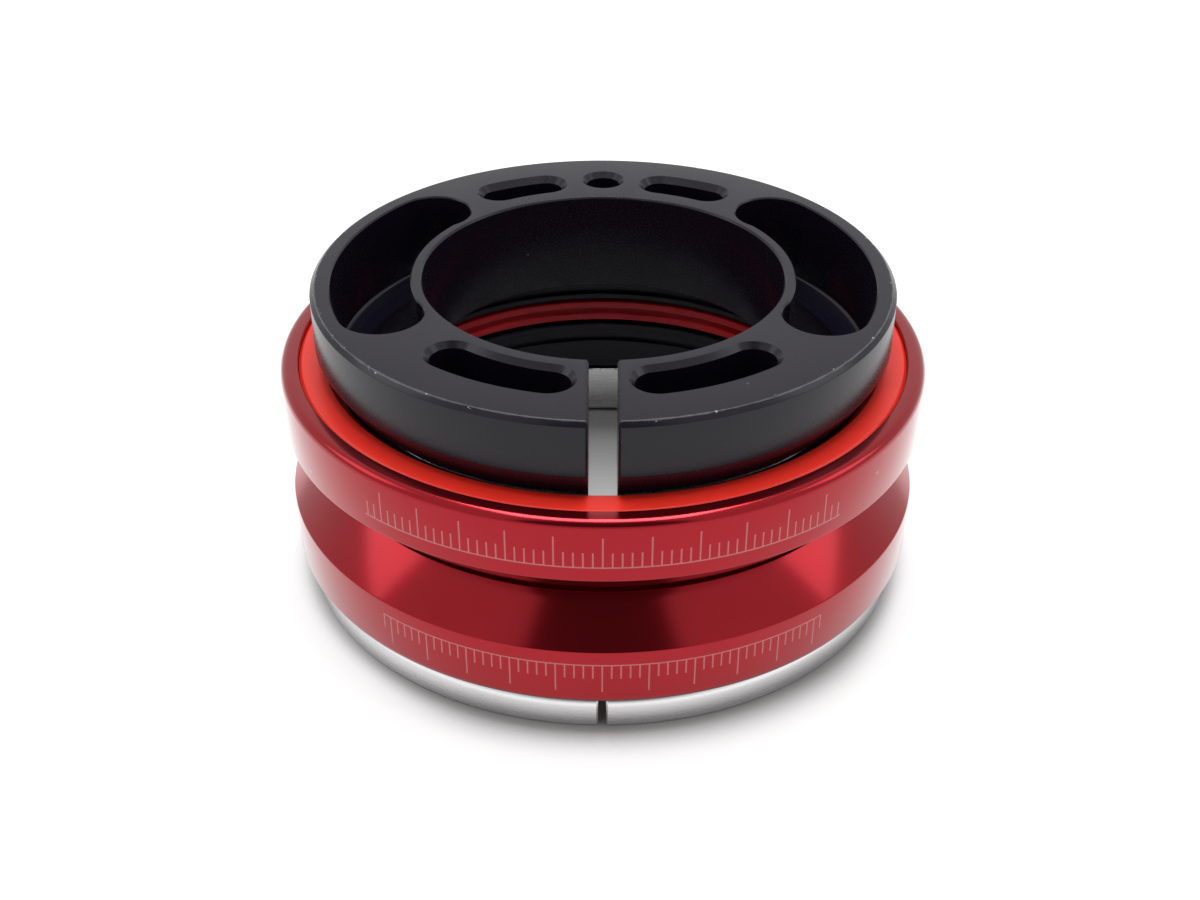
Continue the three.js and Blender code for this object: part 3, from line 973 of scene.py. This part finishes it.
# Painted shadow shaped by angle: deepest in front of the part, lifted round its sides
off_front = calc(tree, "SUBTRACT", here["Angle"], SHADOW_FROM_FRONT)
round_the_side = ramp(
    tree, calc(tree, "ABSOLUTE", off_front),
    SHADOW_HALF, SHADOW_HALF + SHADOW_FADE, 0.0, SIDE_LIGHT,
)
reached = calc(tree, "ADD", open_sky.outputs["AO"], round_the_side)
outside = ramp(tree, here["Radius"], FOOT_RADIUS, FOOT_RADIUS + FOOT_FADE)
glow = ramp(tree, reached, GLOW_FROM, GLOW_TO, GLOW_DARK, GLOW_FULL)
tree.links.new(calc(tree, "MULTIPLY", outside, glow), shader["Emission Color"])
# Painted shade: the paper's colour goes from shaded grey to white as the ambient occlusion opens
lit = ramp(tree, reached, PAPER_FROM, PAPER_TO)
shaded_paper = mixed(tree, lit, PAPER_SHADED, PAPER_WHITE)
tree.links.new(shaded_paper, shader["Base Color"])
floor_mesh.materials.append(paper)

SURROUND = 0.8
SHADE = 0.1
SHADE_HALF = 29
SHADE_LOW = 14
SHADE_HIGH = 67
SHADE_BLUR = 4
world = bpy.data.worlds.new("studio surround")
world.use_nodes = True
tree = world.node_tree
skyward = place(tree, "TexCoord").outputs["Generated"]
way = place(tree, "SeparateXYZ", {0: skyward}).outputs
azimuth = calc(tree, "ARCTAN2", way["X"], calc(tree, "MULTIPLY", way["Y"], -1.0))
azimuth = calc(tree, "ABSOLUTE", calc(tree, "DEGREES", azimuth))
height = calc(tree, "DEGREES", calc(tree, "ARCSINE", way["Z"]))
shade = ramp(tree, azimuth, SHADE_HALF - SHADE_BLUR, SHADE_HALF + SHADE_BLUR, 1.0, 0.0)
above_foot = ramp(tree, height, SHADE_LOW - SHADE_BLUR, SHADE_LOW + SHADE_BLUR)
under_head = ramp(tree, height, SHADE_HIGH - SHADE_BLUR, SHADE_HIGH + SHADE_BLUR, 1.0, 0.0)
shade = calc(tree, "MULTIPLY", shade, calc(tree, "MULTIPLY", above_foot, under_head))
surround = ramp(tree, shade, 0.0, 1.0, SURROUND, SHADE)
tree.links.new(surround, tree.nodes["Background"].inputs["Strength"])
tree.nodes["Background"].inputs["Color"].default_value = (1, 1, 1, 1)
bpy.context.scene.world = world

BOX_ABOVE = {"position": (0, 0.08, 0.6), "size": 0.36, "watts": 3.6}
BOX_RIGHT = {"position": (0.40, 0.02, 0.30), "size": 0.2, "watts": 0.2}
BOX_LEFT = {"position": (-0.40, 0.02, 0.30), "size": 0.2, "watts": 0.2}
for name, box in (("above", BOX_ABOVE), ("left", BOX_LEFT), ("right", BOX_RIGHT)):
    light = bpy.data.lights.new(f"soft box {name}", "AREA")
    light.shape = "SQUARE"
    light.size = box["size"]
    light.energy = box["watts"]
    made = bpy.data.objects.new(light.name, light)
    made.location = box["position"]
    made.rotation_euler = (-made.location).to_track_quat("-Z", "Y").to_euler()
    bpy.context.scene.collection.objects.link(made)

CAMERA_AT = Vector((-0.21, -107.70, 78.15)) * MM
CAMERA_DOWN = math.radians(32.98)
CAMERA_ROLL = -0.003
CAMERA_SENSOR = 36
CAMERA_LENS = 45.16
NEAREST_SEEN = 0.005
camera = bpy.data.cameras.new("camera")
camera.sensor_width = CAMERA_SENSOR
camera.lens = CAMERA_LENS
camera.clip_start = NEAREST_SEEN
camera_object = bpy.data.objects.new("camera", camera)
camera_object.location = CAMERA_AT
look = Matrix.Rotation(math.pi / 2 - CAMERA_DOWN, 4, "X")
roll = Matrix.Rotation(-CAMERA_ROLL, 4, "Z")
camera_object.rotation_euler = (look @ roll).to_euler()
bpy.context.scene.collection.objects.link(camera_object)
bpy.context.scene.camera = camera_object
bpy.context.scene.view_settings.view_transform = "Standard"
